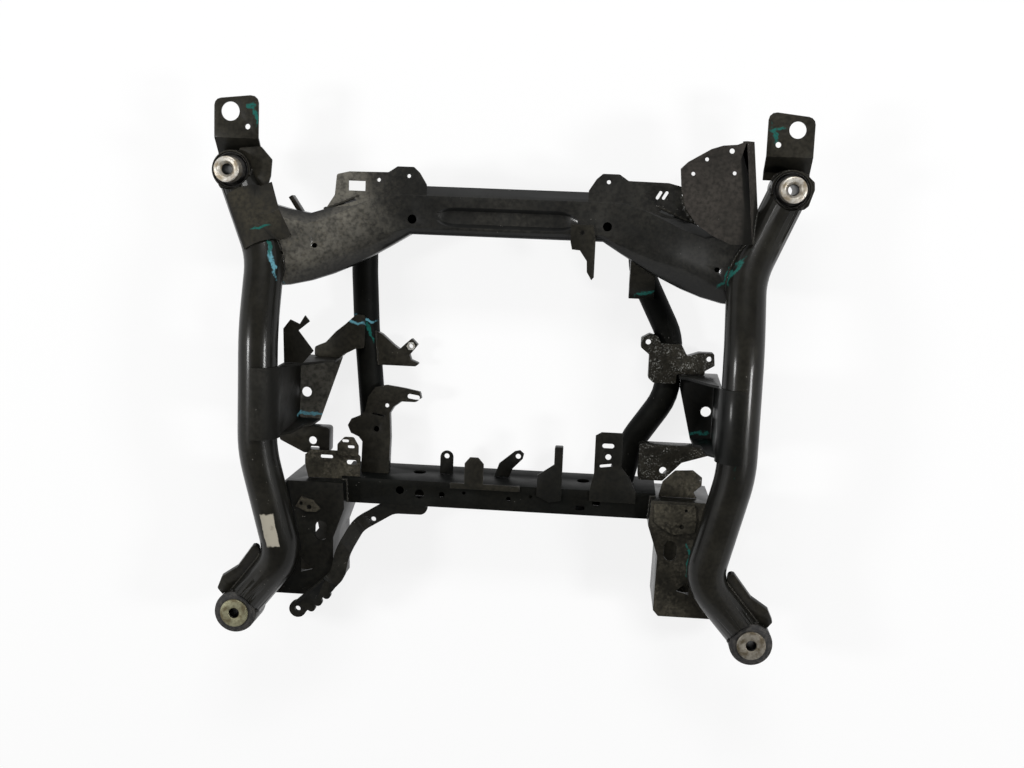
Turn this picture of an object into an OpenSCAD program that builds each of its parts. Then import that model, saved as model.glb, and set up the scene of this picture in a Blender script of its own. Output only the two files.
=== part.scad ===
// Axle subframe: two bent rails, two pressed crossmembers, two inner tubes, and the welded
// brackets and rubber mounting bushes that they carry. It lies with its open side up,
// X across the vehicle, Y along it, and Z = 0 at the feet that it rests on.

/* [Mounting points] */
// Distance between the two upper mounting axes
upper_mount_spread = 910; // [880:1:940]
// Distance between the two lower mounting axes
lower_mount_spread = 876; // [850:1:900]
// Distance from the upper mounting axes to the lower ones
mount_base = 748; // [720:1:780]
// Bore of the mounting sleeves
sleeve_bore = 17; // [13:0.5:19]

/* [Upper bushes] */
// Outer diameter of the upper bush can
upper_can_d = 64; // [58:1:70]
// Height of the upper bush can
upper_can_h = 52; // [46:1:60]
// Height of the can's lower rim above the floor
upper_can_z = 100; // [92:1:108]
// Outer diameter of the upper sleeve
upper_sleeve_d = 42; // [36:1:45]
// How far the upper sleeve stands above its can
upper_sleeve_rise = 26; // [15:1:35]
// Diameter of the chamfer at the mouth of the upper sleeve
upper_mouth_d = 27; // [22:0.5:30]

/* [Lower bushes] */
// Outer diameter of the lower bush can
lower_can_d = 72; // [66:1:78]
// Height of the lower bush can
lower_can_h = 62; // [54:1:70]
// Height of the can's lower rim above the floor
lower_can_z = 104; // [96:1:112]
// Outer diameter of the lower sleeve
lower_sleeve_d = 30; // [26:1:36]
// Diameter of the end washer
washer_d = 48; // [42:1:54]
// Thickness of the end washer
washer_t = 4; // [2:0.5:6]
// Thickness of the rubber lip between the can and the washer
rubber_lip = 6; // [4:0.5:9]

/* [Rails] */
// Diameter of the rail tube
rail_d = 64; // [58:1:70]
// Wall of the rail tube
rail_wall = 3; // [2:0.25:5]
// Distance between the rail axes along their straight stretch
rail_spread = 782; // [760:1:800]
// Distance between the rail axes at their narrow waist
waist_spread = 700; // [680:1:720]
// Height of the straight rail axis above the floor
rail_z = 205; // [198:1:212]

/* [Upper crossmember] */
// Distance from the upper mounting axes back to the middle of the beam
beam_setback = 54; // [44:1:64]
// Width of the beam, measured along the vehicle
beam_w = 80; // [70:1:90]
// Half the length of the straight beam
beam_half = 160; // [150:1:170]
// Height of the beam's face above the floor
beam_z = 130; // [122:1:138]
// Depth of the beam from its face to its underside
beam_depth = 70; // [60:1:76]
// Half the length of the sunken panel in the beam's face
panel_half = 118; // [90:1:125]
// How deep that panel is pressed
panel_depth = 8; // [3:0.5:12]
// How far the arms sweep back from the beam to the rails
arm_sweep = 94; // [80:1:105]
// How far the arms climb from the beam to the rails
arm_climb = 46; // [36:1:54]
// How far the two ears stand out past the beam
ear_rise = 30; // [20:1:40]
// Sheet of the crossmember pressings
cross_sheet = 3; // [2:0.25:4]

/* [Lower crossmember] */
// Distance from the lower mounting axes up to the middle of the lower crossmember
lower_cross_setback = 211; // [200:1:222]
// Width of its face, measured along the vehicle
lower_cross_w = 44; // [38:1:52]
// Height of its face above the floor
lower_cross_z = 108; // [100:1:116]
// Depth from its face to its underside
lower_cross_depth = 98; // [84:1:99]
// How far each wall leans out from the face to the foot
lower_cross_draft = 8; // [0:1:14]

/* [Inner tubes] */
// Diameter of the inner tubes
tube_d = 45; // [40:1:48]
// Wall of the inner tubes
tube_wall = 2.5; // [2:0.25:4]

/* [Engine mount cups] */
// Width of each cup, measured along the vehicle
cup_w = 118; // [104:1:130]
// Height of the cup's seat above the floor
seat_z = 25; // [15:1:35]
// Height of the shelf below each cup
shelf_z = 90; // [80:1:100]
// Hole in each seat for the mount's stud
seat_hole_d = 18; // [12:1:22]

/* [Control arm brackets] */
// Height of the bracket's top plate above the floor
arm_bracket_z = 135; // [126:1:142]
// Length of the bracket along the vehicle
arm_bracket_len = 200; // [190:1:206]
// Pivot bolt hole through the bracket's end walls
pivot_hole_d = 14; // [10:0.5:18]
// Height of the pivot axis above the floor
pivot_z = 58; // [45:1:70]

/* [End tabs] */
// How far the tabs reach past the upper mounting axes
tab_reach = 123; // [110:1:130]
// Width of the tabs
tab_w = 74; // [66:1:80]
// Height of the tabs above the floor
tab_z = 136; // [128:1:144]

/* [Brackets] */
// Sheet of the cups and the larger brackets
bracket_sheet = 4; // [3:0.25:5]
// Sheet of the small tabs
tab_sheet = 3; // [2:0.25:4]
// Bolt hole in the small tabs
tab_hole_d = 9; // [6:0.5:11]

/* [Hidden] */

$fn = 48;
weld_gap = 0.3;
bond_gap = 0.1;
through = 400;
black_paint = [0.12, 0.12, 0.11];
dusty_paint = [0.25, 0.23, 0.2];

upper_y = mount_base / 2;
lower_y = -mount_base / 2;
rail_x = rail_spread / 2;
rail_r = rail_d / 2;
tube_r = tube_d / 2;
middle_y = (tab_reach - lower_can_d / 2) / 2;

// Vector and line helpers
function unit(v) = v / norm(v);
function flat(lists) = [for (list = lists) each list];
function lerp(a, b, s) = a + (b - a) * s;
function ease(s) = let (c = min(1, max(0, s))) c * c * (3 - 2 * c);
function mean(points) = [for (p = points) 1] * points / len(points);

// Places and directions along a line of points whose corners are bent to given radii
function bend(a, b, c, r, steps) =
    let (
        u = unit(b - a), v = unit(c - b),
        angle = acos(u * v),
        start = b - u * r * tan(angle / 2),
        w = unit(v - u * (u * v))
    )
    [for (k = [0:steps]) let (f = angle * k / steps)
        [start + u * r * sin(f) + w * r * (1 - cos(f)), u * cos(f) + w * sin(f)]];
function route(points, radii, steps) =
    let (n = len(points))
    concat(
        [[points[0], unit(points[1] - points[0])]],
        flat([for (i = [1:n - 2]) bend(points[i - 1], points[i], points[i + 1], radii[i - 1], steps)]),
        [[points[n - 1], unit(points[n - 1] - points[n - 2])]]
    );
function ring(stop, r, sides) =
    let (across = unit(cross(stop[1], [0, 0, 1])), up = cross(across, stop[1]))
    [for (j = [0:sides - 1]) let (a = 360 * (j + 0.5) / sides)
        stop[0] + r * (cos(a) * across + sin(a) * up)];
// The section of a flat bar that follows a line: w wide and t thick
function bar_ring(stop, w, t) =
    let (across = unit(cross(stop[1], [0, 0, 1])) * w / 2, up = [0, 0, t / 2])
    [stop[0] + across + up, stop[0] - across + up, stop[0] - across - up, stop[0] + across - up];

// Triangles between two rows of a grid of points, n rows by m points, closed around or open
function grid_faces(n, m, base, closed, flip) =
    [for (i = [0:n - 2], j = [0:m - (closed ? 1 : 2)])
        let (
            a = base + i * m + j, b = base + i * m + (j + 1) % m,
            c = base + (i + 1) * m + j, d = base + (i + 1) * m + (j + 1) % m
        )
        each flip ? [[a, d, b], [a, c, d]] : [[a, b, d], [a, d, c]]];
// Triangles that join two matching rows of points, such as the rims of a wall
function rim_faces(one, two, flip) =
    [for (j = [0:len(one) - 2])
        each flip ? [[one[j], two[j + 1], one[j + 1]], [one[j], two[j], two[j + 1]]]
                  : [[one[j], one[j + 1], two[j + 1]], [one[j], two[j + 1], two[j]]]];

// A bent tube with open ends
module bent_tube(stops, r, wall, sides) {
    n = len(stops);
    outside = flat([for (s = stops) ring(s, r, sides)]);
    inside = flat([for (s = stops) ring(s, r - wall, sides)]);
    base = n * sides;
    round_row = [for (j = [0:sides]) j % sides];
    last = (n - 1) * sides;
    polyhedron(
        concat(outside, inside),
        concat(
            grid_faces(n, sides, 0, true, false),
            grid_faces(n, sides, base, true, true),
            rim_faces(round_row, [for (j = round_row) j + base], true),
            rim_faces([for (j = round_row) j + last], [for (j = round_row) j + base + last], false)
        )
    );
}
// A closed body through rings of points, capped at both ends
module loft(rings) {
    n = len(rings);
    m = len(rings[0]);
    last = (n - 1) * m;
    polyhedron(
        concat(flat(rings), [mean(rings[0]), mean(rings[n - 1])]),
        concat(
            grid_faces(n, m, 0, true, false),
            [for (j = [0:m - 1]) [n * m, (j + 1) % m, j]],
            [for (j = [0:m - 1]) [n * m + 1, last + j, last + (j + 1) % m]]
        )
    );
}
// The full body of a bent tube, which copes what is welded to it
module bent_bar(stops, r, sides) loft([for (s = stops) ring(s, r, sides)]);
// A pressed sheet between two matching grids of points, rows of equal length
module pressing(over, under) {
    n = len(over);
    m = len(over[0]);
    base = n * m;
    first = [for (j = [0:m - 1]) j];
    final = [for (j = [0:m - 1]) (n - 1) * m + j];
    side_a = [for (i = [0:n - 1]) i * m];
    side_b = [for (i = [0:n - 1]) i * m + m - 1];
    polyhedron(
        concat(flat(over), flat(under)),
        concat(
            grid_faces(n, m, 0, false, false),
            grid_faces(n, m, base, false, true),
            rim_faces(first, [for (k = first) k + base], true),
            rim_faces(final, [for (k = final) k + base], false),
            rim_faces(side_a, [for (k = side_a) k + base], false),
            rim_faces(side_b, [for (k = side_b) k + base], true)
        )
    );
}
// A line of points moved sideways by t, with mitred corners
function side_line(p, t) =
    let (
        n = len(p),
        normals = [for (i = [0:n - 2]) let (u = unit(p[i + 1] - p[i])) [-u[1], u[0]]]
    )
    [for (i = [0:n - 1])
        let (a = normals[max(0, i - 1)], b = normals[min(n - 2, i)])
        p[i] + t * (a + b) / (1 + a * b)];
// The outline of a folded strip of sheet
function strip(p, t) =
    let (q = side_line(p, t))
    concat(p, [for (i = [len(q) - 1:-1:0]) q[i]]);
// A closed outline, anticlockwise, moved inwards by t
function inset(p, t) =
    let (
        n = len(p),
        normals = [for (i = [0:n - 1]) let (u = unit(p[(i + 1) % n] - p[i])) [-u[1], u[0]]]
    )
    [for (i = [0:n - 1])
        let (a = normals[(i + n - 1) % n], b = normals[i])
        p[i] + t * (a + b) / (1 + a * b)];
// A closed outline with its corners rounded
function rounded(p, r) =
    let (n = len(p))
    [for (i = [0:n - 1]) for (s = bend(p[(i + n - 1) % n], p[i], p[(i + 1) % n], r, 3)) s[0]];
function moved(points, x, y) = [for (p = points) [p[0] + x, p[1] + y]];

// Sheet-metal helpers
module across(len) rotate([90, 0, 90]) linear_extrude(len, center = true) children();
module along_y(len) rotate([90, 0, 0]) linear_extrude(len, center = true) children();
module plate(outline, z, t) translate([0, 0, z]) linear_extrude(t) polygon(outline);
// A pressed tray: a flat top whose edges turn down all round
module tray(outline, r, top, depth, t) difference() {
    plate(rounded(outline, r), top - depth, depth);
    plate(rounded(inset(outline, t), max(r - t, 0.5)), top - depth - 1, depth + 1 - t);
}
module hole(x, y, d) translate([x, y, -through]) cylinder(d = d, h = 2 * through);
module slot_hole(x, y, length, d, angle) translate([x, y, 0]) rotate(angle) {
    reach = (length - d) / 2;
    hole(-reach, 0, d);
    hole(reach, 0, d);
    translate([-reach, -d / 2, -through]) cube([2 * reach, d, 2 * through]);
}
module other_side() mirror([1, 0, 0]) children();

// Rail axis from the upper mount to the lower one, on the right side
function rail_points() = [
    [upper_mount_spread / 2, upper_y, upper_can_z + upper_can_h / 2],
    [rail_x, upper_y - 138, rail_z - 37],
    [rail_x, upper_y - 254, rail_z],
    [rail_x, lower_y + 294, rail_z],
    [waist_spread / 2, lower_y + 112, rail_z - 19],
    [lower_mount_spread / 2, lower_y, lower_can_z + lower_can_h / 2]
];
rail_bends = [150, 250, 250, 70];
rail_steps = 5;
rail_sides = 24;
module rail_bar(grow) bent_bar(route(rail_points(), rail_bends, rail_steps), rail_r + grow, rail_sides);
module upper_can_body(grow) translate([upper_mount_spread / 2, upper_y, 0])
    cylinder(d = upper_can_d + 2 * grow, h = 2 * rail_z);
module lower_can_body(grow) translate([lower_mount_spread / 2, lower_y, 0])
    cylinder(d = lower_can_d + 2 * grow, h = 2 * rail_z);
// Point on the waist of the rail axis at a given place along the vehicle
function waist_point(y) =
    let (p = rail_points(), k = y > p[4][1] ? 3 : 4)
    lerp(p[k], p[k + 1], (y - p[k][1]) / (p[k + 1][1] - p[k][1]));

module rail() difference() {
    bent_tube(route(rail_points(), rail_bends, rail_steps), rail_r, rail_wall, rail_sides);
    upper_can_body(weld_gap);
    lower_can_body(weld_gap);
}
module left_rail() color(black_paint) other_side() rail();
module right_rail() color(black_paint) rail();

// Gusset on the outer side of each lower bend, in the plane of the rail's last leg
module rail_gusset() {
    leg = rail_points()[4] - rail_points()[5];
    outline = [[24, 22], [35, 42], [24, 68], [-6, 92], [-38, 140], [-48, 146], [-50, 100], [-18, 46]];
    difference() {
        translate(rail_points()[5]) rotate([atan2(leg[2], leg[1]), 0, 0])
            plate(rounded(outline, 6), -bracket_sheet, 2 * bracket_sheet);
        rail_bar(weld_gap);
        lower_can_body(weld_gap);
    }
}
module left_rail_gusset() color(black_paint) other_side() rail_gusset();
module right_rail_gusset() color(black_paint) rail_gusset();

// Upper crossmember: sections across the vehicle, from the left rail to the right one
beam_y = upper_y - beam_setback;
beam_top = beam_y + beam_w / 2;
beam_low = beam_y - beam_w / 2;
arm_end_x = rail_x - 3;
arm_stations = 7;
panel_slope = 36;
panel_top = 17;
panel_foot = 3;
panel_wall = 6;
fold_w = 16;
fold_drop = 14;
seam_drop = 44;
seam_lap = 9;
function arm_x(k) = lerp(beam_half, arm_end_x, k / arm_stations);
panel_stations = [0, 0.35, 0.65, 0.88, 1];
cross_x = concat(
    [0],
    [for (s = panel_stations) panel_half - panel_slope * (1 - s)],
    [for (k = [0:arm_stations]) arm_x(k)]
);
function along_arm(x) = (x - beam_half) / (arm_end_x - beam_half);
function face_z(x) = beam_z + arm_climb * ease(1.5 * along_arm(x) - 0.5);
function top_y(x) = beam_top - 0.6 * arm_sweep * ease(1.3 * along_arm(x) - 0.1)
    + 0.2 * arm_sweep * ease(3.2 * along_arm(x) - 2.2);
function low_y(x) = beam_low - arm_sweep * (2 * ease(0.5 + max(0, along_arm(x)) / 2) - 1);
function ridge_y(x) = low_y(x) + 11 + 28 * ease(3 * along_arm(x));
function ridge_drop(x) = 12 + 18 * ease(3 * along_arm(x));
// The panel's round ends: from 0 where the end begins to 1 at its tip
function panel_end(x) = min(1, max(0, 1 - (panel_half - x) / panel_slope));
function recess(x) = panel_depth * min(1, 1.8 * (1 - panel_end(x)));
function panel_span(x) = max(0.3, sqrt(1 - pow(panel_end(x), 2)));
function cross_section(x) =
    let (
        ax = abs(x), z = face_z(ax), seam = z - seam_drop, floor_of_panel = z - recess(ax),
        t = top_y(ax), f = t - fold_w, r = ridge_y(ax), l = low_y(ax), drop = ridge_drop(ax),
        middle = (f - panel_top + r + panel_foot) / 2, span = panel_span(ax),
        rim = span * (f - panel_top - r - panel_foot) / 2, bed = rim - span * panel_wall
    )
    [[t, seam], [t, z - fold_drop], [f, z], [middle + rim, z], [middle + bed, floor_of_panel],
        [middle - bed, floor_of_panel], [middle - rim, z], [r, z - 0.06 * drop], [(r + l) / 2, z - 0.4 * drop],
        [l + 2, z - 0.8 * drop], [l, z - drop], [l, seam]];
function row(x, section) = [for (p = section) [x, p[0], p[1]]];
function both_sides(half) = concat([for (i = [len(half) - 1:-1:1]) -half[i]], half);
// The full body of the crossmember, which copes what is welded under it
module cross_body(grow) loft([for (x = both_sides(cross_x))
    let (
        ax = abs(x), z = face_z(ax) + grow, foot = face_z(ax) - beam_depth - grow,
        t = top_y(ax) + grow, l = low_y(ax) - grow, r = ridge_y(ax), drop = ridge_drop(ax)
    )
    row(x, [[l, foot], [l, z - 0.8 * drop], [(r + l) / 2 - grow, z - 0.4 * drop], [r, z], [top_y(ax) - fold_w, z],
        [t, z - fold_drop], [t, foot]])]);

// Ears that stand out past the beam, with the curve that runs from each into the arm
ear_step = 0.4;
ear_z = beam_z - cross_sheet - ear_step;
ear_outline = concat(
    moved([[133, 2], [145, ear_rise - 9], [155, ear_rise], [182, ear_rise], [197, ear_rise - 10],
        [262, ear_rise - 11], [283, ear_rise - 16], [286, -20], [300, -42]], 0, beam_top),
    [for (k = [5, 4]) [arm_x(k), top_y(arm_x(k)) - (k > 4 ? 0.5 : cross_sheet / 2)]],
    [for (k = [3, 2, 1]) [arm_x(k), top_y(arm_x(k)) - fold_w - 2]],
    [[133, beam_top - fold_w - 2]]
);
ear_holes = [[-213, 7], [-163, 15], [165, 17]];
ear_hole_d = 6.5;
module upper_crossmember() color(black_paint) {
    xs = both_sides(cross_x);
    difference() {
        union() {
            pressing(
                [for (x = xs) row(x, side_line(cross_section(x), cross_sheet))],
                [for (x = xs) row(x, cross_section(x))]
            );
            plate(rounded(ear_outline, 4), ear_z, cross_sheet);
            other_side() plate(rounded(ear_outline, 4), ear_z, cross_sheet);
        }
        rail_bar(weld_gap);
        other_side() rail_bar(weld_gap);
        for (p = ear_holes) hole(p[0], beam_top + p[1], ear_hole_d);
        translate([-263, beam_top - 12, ear_z - 5]) cube([28, 16, 4 * cross_sheet]);
        for (dx = [-5, 5]) slot_hole(252 + dx, beam_top - 1, 15, 5, 60);
        for (x = [-156, 166]) hole(x, beam_low + 25, 15);
        for (p = [[-365, -38], [-313, -24], [344, -36]]) hole(p[0], beam_low + p[1], 8);
    }
}
function floor_section(x) =
    let (
        ax = abs(x), z = face_z(ax), foot = z - beam_depth,
        a = top_y(ax) - cross_sheet - weld_gap, b = low_y(ax) + cross_sheet + weld_gap,
        rim = z - seam_drop + seam_lap
    )
    [[a, rim], [a, foot], [b, foot], [b, rim]];
module upper_crossmember_floor() color(black_paint) {
    xs = both_sides(cross_x);
    difference() {
        pressing(
            [for (x = xs) row(x, floor_section(x))],
            [for (x = xs) row(x, side_line(floor_section(x), -cross_sheet))]
        );
        rail_bar(weld_gap);
        other_side() rail_bar(weld_gap);
    }
}
module weld_nut(d, h, bore) difference() {
    cylinder(d = d, h = h, $fn = 6);
    translate([0, 0, -1]) cylinder(d = bore, h = h + 2);
}
ear_nut_h = 5;
module ear_weld_nuts() color("gray")
    for (p = ear_holes)
        translate([p[0], beam_top + p[1], ear_z - weld_gap - ear_nut_h]) weld_nut(13, ear_nut_h, ear_hole_d);

// Lower crossmember: a drafted channel with a closing floor, coped to the control arm brackets
lower_cross_y = lower_y + lower_cross_setback;
lower_cross_foot = lower_cross_z - lower_cross_depth;
lower_cross_len = waist_spread - 160;
lower_cross_top = lower_cross_y + lower_cross_w / 2;
function lower_cross_line(grow) =
    let (half = lower_cross_w / 2 + grow, foot = half + lower_cross_draft)
    [[foot, lower_cross_foot - grow], [half, lower_cross_z + grow], [-half, lower_cross_z + grow],
        [-foot, lower_cross_foot - grow]];
module lower_cross_body(grow) translate([0, lower_cross_y, 0])
    across(lower_cross_len + 2 * grow) polygon(lower_cross_line(grow));
face_holes = [[-168, 4, 14], [-134, -1, 16], [-95, 0, 10], [-57, 5, 6], [20, -1, 8], [58, 5, 6], [170, 1, 14]];
wall_hole_d = 22;
wall_hole_z = 55;
module lower_crossmember() color(black_paint) difference() {
    translate([0, lower_cross_y, 0])
        across(lower_cross_len) polygon(strip(lower_cross_line(0), cross_sheet));
    for (p = face_holes)
        translate([p[0], lower_cross_y + p[1], lower_cross_z - 2 * cross_sheet])
            cylinder(d = p[2], h = 4 * cross_sheet);
    translate([0, 0, lower_cross_z]) intersection() {
        slot_hole(143, lower_cross_y - 10, 16, 8, 0);
        translate([0, lower_cross_y - lower_cross_w, -2 * cross_sheet])
            cube([lower_cross_len / 2, 2 * lower_cross_w, 4 * cross_sheet]);
    }
    for (x = [-142, 146])
        translate([x, lower_cross_top, wall_hole_z])
            rotate([90, 0, 0]) cylinder(d = wall_hole_d, h = lower_cross_w / 2, center = true);
    arm_bracket_body(weld_gap);
    other_side() arm_bracket_body(weld_gap);
}
module lower_crossmember_floor() color(black_paint) difference() {
    half = lower_cross_w / 2 + lower_cross_draft - cross_sheet - 2 * weld_gap;
    translate([-lower_cross_len / 2, lower_cross_y - half, lower_cross_foot])
        cube([lower_cross_len, 2 * half, cross_sheet]);
    arm_bracket_body(weld_gap);
    other_side() arm_bracket_body(weld_gap);
}

// Inner tubes, from under the upper crossmember to the wall of the lower one
tube_top_z = beam_z - beam_depth - tube_r - weld_gap;
tube_low_z = tube_r + 0.4;
tube_end_y = lower_cross_top - 10;
function left_tube_points() = [
    [-252, beam_y - 10, tube_top_z],
    [-251, beam_y - 110, tube_top_z - 2],
    [-248, 110, tube_low_z],
    [-242, 50, tube_low_z],
    [-218, tube_end_y, 48]
];
function right_tube_points() = [
    [222, beam_y - 10, tube_top_z],
    [230, beam_y - 95, tube_top_z - 2],
    [284, 120, tube_low_z],
    [284, 18, tube_low_z + 2],
    [228, -62, 40],
    [206, tube_end_y, 50]
];
left_tube_bends = [150, 150, 200];
right_tube_bends = [120, 90, 90, 90];
tube_steps = 4;
tube_sides = 20;
function left_stops() = route(left_tube_points(), left_tube_bends, tube_steps);
function right_stops() = route(right_tube_points(), right_tube_bends, tube_steps);
module left_tube_bar(grow) bent_bar(left_stops(), tube_r + grow, tube_sides);
module right_tube_bar(grow) bent_bar(right_stops(), tube_r + grow, tube_sides);
module left_inner_tube() color(black_paint) difference() {
    bent_tube(left_stops(), tube_r, tube_wall, tube_sides);
    lower_cross_body(weld_gap);
}
module right_inner_tube() color(black_paint) difference() {
    bent_tube(right_stops(), tube_r, tube_wall, tube_sides);
    lower_cross_body(weld_gap);
}

// Engine mount cup: wraps the rail's inner side, drops to a seat, with a wall at each end
cup_wall_x = rail_x - 22;
cup_low_reach = rail_x - 62;
cup_end = cup_w / 2;
function cup_line(reach) =
    let (r = rail_r + weld_gap)
    concat(
        [for (a = [85:11.5:200]) [rail_x + r * cos(a), rail_z + r * sin(a)]],
        [[cup_wall_x, seat_z + 6], [cup_wall_x - 1.5, seat_z + 1.5], [cup_wall_x - 5.5, seat_z], [reach, seat_z]]
    );
module cup_wall(reach) along_y(bracket_sheet)
    polygon([[reach, seat_z], [cup_wall_x, seat_z], [rail_x - rail_r, rail_z - 20],
        [rail_x - rail_r - 14, rail_z - 40], [reach + 12, shelf_z + 8], [reach, shelf_z]]);
module mount_cup(reach) difference() {
    union() {
        along_y(cup_w) polygon(strip(cup_line(reach), -bracket_sheet));
        translate([0, cup_end - bracket_sheet / 2, 0]) cup_wall(reach);
        translate([0, bracket_sheet / 2 - cup_end, 0]) cup_wall(cup_low_reach);
    }
    plate([[reach - 1, cup_end], [reach - 1, -cup_end - 1], [cup_low_reach, -cup_end - 1]], 0, shelf_z);
    rail_bar(weld_gap);
    translate([rail_x - 38, -8, 0]) cylinder(d = seat_hole_d, h = seat_z + 3 * bracket_sheet);
}
left_cup_reach = rail_x - 101;
right_cup_reach = rail_x - 91;
module left_mount_cup() color(dusty_paint) other_side() mount_cup(left_cup_reach);
module right_mount_cup() color(black_paint) difference() {
    mount_cup(right_cup_reach);
    right_tube_bar(weld_gap);
}

// Pressed arms from the cups to the inner tubes, which they saddle
saddle_rise = 4;
saddle_z = tube_low_z + tube_r + saddle_rise + bracket_sheet;
module left_cup_arm() color(black_paint) other_side() {
    foot = cup_end + weld_gap;
    outline = [[rail_x - 103, foot], [rail_x - 57, foot], [rail_x - 57, 77], [315, 85], [297, 105], [280, 119],
        [262, 136], [246, 136], [246, 78], [262, 76], [rail_x - 107, 64]];
    difference() {
        tray(outline, 5, saddle_z, 28, bracket_sheet);
        other_side() left_tube_bar(weld_gap);
    }
}
module right_cup_arm() color(black_paint) {
    foot = cup_end + weld_gap;
    outline = [[258, 42], [rail_x - 94, 42], [rail_x - 94, foot], [rail_x - 46, foot], [rail_x - 46, 66],
        [rail_x - 30, 76], [rail_x - 32, 97], [rail_x - 57, 97], [rail_x - 77, 90], [303, 110], [268, 110], [262, 122],
        [248, 126], [234, 118], [234, 102], [249, 90], [249, 50]];
    difference() {
        tray(outline, 3, saddle_z, 26, bracket_sheet);
        right_tube_bar(weld_gap);
        hole(246, 112, tab_hole_d);
        hole(rail_x - 40, 87, tab_hole_d);
    }
}

// Shelves below the cups, pressed as trays, one with a holed leg
shelf_depth = 30;
shelf_top = -cup_end - weld_gap;
module left_shelf() color(dusty_paint) other_side() difference() {
    outline = moved([[-94, -46], [-50, -46], [-6, -25], [-6, 0], [-94, 0]], rail_x, shelf_top);
    tray(outline, 6, shelf_z, shelf_depth, bracket_sheet);
    hole(rail_x - 65, shelf_top - 24, 14);
    slot_hole(rail_x - 69, shelf_top - 37, 16, 6, 0);
}
module right_shelf() color(dusty_paint) difference() {
    outline = moved([[-152, -62], [-110, -62], [-79, -29], [-36, -15], [-19, -11], [-19, 0], [-152, 0]],
        rail_x, shelf_top);
    tray(outline, 5, shelf_z, shelf_depth, bracket_sheet);
    right_tube_bar(weld_gap);
    hole(rail_x - 110, shelf_top - 44, 12);
}

// Control arm bracket: an inverted tray under the rail's waist, its outer edge turned up to the rail
arm_bracket_end = lower_y + 28;
arm_bracket_top = arm_bracket_end + arm_bracket_len;
arm_bracket_x = waist_spread / 2 - 75;
rail_lap = 14;
edge_stations = [0, 0.2, 0.42, 0.7, 1];
function edge_point(s) = waist_point(lerp(arm_bracket_end, arm_bracket_top, s)) - [rail_lap, 0, 0];
function bracket_outline(grow, outer) = concat(
    [[arm_bracket_x + 9 - grow, arm_bracket_end - grow]],
    [for (s = edge_stations) let (p = edge_point(s))
        [p[0] + outer, p[1] + (s == 0 ? -grow : s == 1 ? grow : 0)]],
    [[arm_bracket_x - 13 - grow, arm_bracket_top + grow], [arm_bracket_x - 16 - grow, arm_bracket_top - 44],
        [arm_bracket_x + 2 - grow, arm_bracket_top - 96], [arm_bracket_x - grow, arm_bracket_end + 10]]
);
module arm_bracket_body(grow) plate(bracket_outline(grow, grow), -grow, arm_bracket_z + 2 * grow);
module arm_bracket() {
    open_side = 3 * bracket_sheet;
    difference() {
        union() {
            difference() {
                plate(bracket_outline(0, 0), 0, arm_bracket_z);
                plate(bracket_outline(-bracket_sheet, open_side), -1, arm_bracket_z + 1 - bracket_sheet);
            }
            pressing(
                [for (s = edge_stations) let (p = edge_point(s))
                    [[p[0], p[1], arm_bracket_z - bracket_sheet], p]],
                [for (s = edge_stations) let (p = edge_point(s) - [bracket_sheet, 0, 0])
                    [[p[0], p[1], arm_bracket_z - bracket_sheet], p]]
            );
        }
        translate([arm_bracket_x + 35, arm_bracket_end, pivot_z])
            rotate([90, 0, 0]) cylinder(d = pivot_hole_d, h = 3 * arm_bracket_len, center = true);
        rail_bar(weld_gap);
        slot_hole(arm_bracket_x + 23, arm_bracket_top - 85, 34, 21, 90);
        plate(moved([[37, 46], [58, 40], [58, 66]], arm_bracket_x, arm_bracket_end), shelf_z, rail_z);
    }
}
module left_arm_bracket() color(black_paint) other_side() arm_bracket();
module right_arm_bracket() color(black_paint) arm_bracket();
module arm_bracket_floor()
    plate(bracket_outline(-bracket_sheet - weld_gap, -bracket_sheet), bracket_sheet, bracket_sheet);
module left_arm_bracket_floor() color(black_paint) other_side() arm_bracket_floor();
module right_arm_bracket_floor() color(black_paint) arm_bracket_floor();

// Stay: a flat bar from the lower crossmember's wall, over the left bracket, to a free round end
stay_t = 8;
stay_w = 26;
stay_lip = 4;
stay_lobes = [0.22, 0.5, 0.72];
stay_top_z = arm_bracket_z + weld_gap + stay_t / 2;
stay_end = [-arm_bracket_x - 60, arm_bracket_end - 24];
function stay_points() = [
    [-134, lower_cross_y - 27, lower_cross_z - 14],
    [-182, lower_cross_y - 27, lower_cross_z - 12],
    [-238, lower_cross_y - 60, lower_cross_z + 2],
    [14 - arm_bracket_x, arm_bracket_end + 78, stay_top_z],
    [10 - arm_bracket_x, arm_bracket_end + 40, stay_top_z],
    [stay_end[0], stay_end[1], stay_top_z]
];
// The last leg of the stay, with a rolled lip along one side and lobes along the other
stay_leg = [lerp(stay_points()[4], stay_points()[5], 0.25), stay_points()[5]];
stay_side = let (u = unit(stay_leg[1] - stay_leg[0])) [-u[1], u[0], 0];
module stay_arm() color(black_paint) difference() {
    union() {
        loft([for (s = route(stay_points(), [40, 40, 60, 40], 3)) bar_ring(s, stay_w, stay_t)]);
        translate(stay_points()[0] - [0, 0, stay_t / 2]) cylinder(d = stay_w, h = stay_t);
        translate([stay_end[0], stay_end[1], stay_top_z - stay_t / 2]) cylinder(d = stay_w + 4, h = stay_t);
        for (s = stay_lobes) translate(lerp(stay_leg[0], stay_leg[1], s) + stay_side * stay_w / 2)
            cylinder(d = 15, h = stay_t, center = true);
        loft([for (p = stay_leg) bar_ring(
            [p - stay_side * (stay_w - stay_lip) / 2 + [0, 0, stay_lip], unit(stay_leg[1] - stay_leg[0])],
            stay_lip, stay_t
        )]);
    }
    lower_cross_body(weld_gap);
    hole(stay_end[0], stay_end[1], 10);
    hole(-213, lower_cross_y - 50, tab_hole_d);
}

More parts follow.
